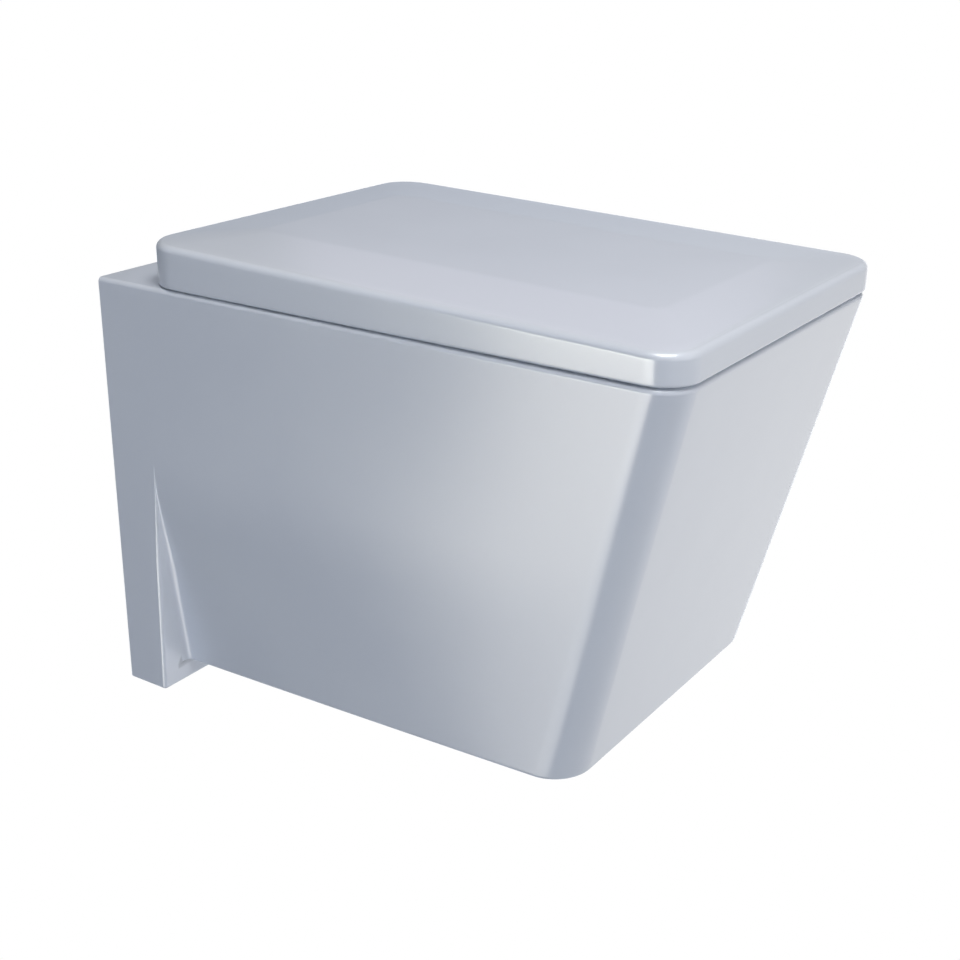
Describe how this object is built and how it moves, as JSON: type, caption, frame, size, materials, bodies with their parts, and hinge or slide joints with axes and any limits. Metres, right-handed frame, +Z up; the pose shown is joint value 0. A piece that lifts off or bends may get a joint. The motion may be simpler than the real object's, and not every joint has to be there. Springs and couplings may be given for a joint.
{
  "type": "wall hung toilet",
  "caption": "Wall hung toilet with a slanted shrouded ceramic pan, a wall flange, and a flat wedge-shaped soft-close lid over a hinged seat ring.",
  "frame": {"origin": "midway between the two wall stud holes, on the wall plane", "axes": "+Z up, -Y out from the wall towards the user, +X to the right as seen from the front"},
  "size_m": [0.36, 0.5494, 0.4245],
  "materials": {
    "glaze": "gloss glaze",
    "seat_plastic": "polished thermoset",
    "chrome": "polished",
    "steel": "plain stainless",
    "rubber": "matt",
    "nylon": "moulded"
  },
  "bodies": {
    "pan_body": {"pan": "glaze", "bowl": "glaze", "trap": "glaze", "back_web": "glaze", "left_hinge_post": "chrome", "right_hinge_post": "chrome", "hinge_pillars": "chrome", "lid_pivot_pin": "steel", "seat_pivot_pin": "steel", "grub_screws": "steel", "clamp_screws": "steel", "stud_clamps": "steel", "seat_damper_rotor": "nylon", "lid_damper_rotor": "nylon", "inlet_seal": "rubber", "hinge_gaskets": "rubber", "anchor_sleeves": "rubber", "stud_sleeves": "nylon", "anchor_nuts": "nylon"},
    "seat_body": {"seat_ring": "seat_plastic", "seat_bumpers": "rubber", "seat_damper_housing": "nylon", "seat_damper_cap": "nylon", "seat_pivot_bush": "nylon"},
    "lid_body": {"lid_shell": "seat_plastic", "lid_bumpers": "rubber", "lid_damper_housing": "nylon", "lid_damper_cap": "nylon", "lid_pivot_bush": "nylon"}
  },
  "joints": [
    {"name": "seat_hinge", "type": "hinge", "parent": "pan_body", "child": "seat_body", "pos_m": [0, -0.0591, 0.106], "axis": [-1, 0, 0], "range_deg": [0, 95]},
    {"name": "lid_hinge", "type": "hinge", "parent": "seat_body", "child": "lid_body", "pos_m": [0, -0.0591, 0.106], "axis": [-1, 0, 0], "range_deg": [0, 93]}
  ]
}
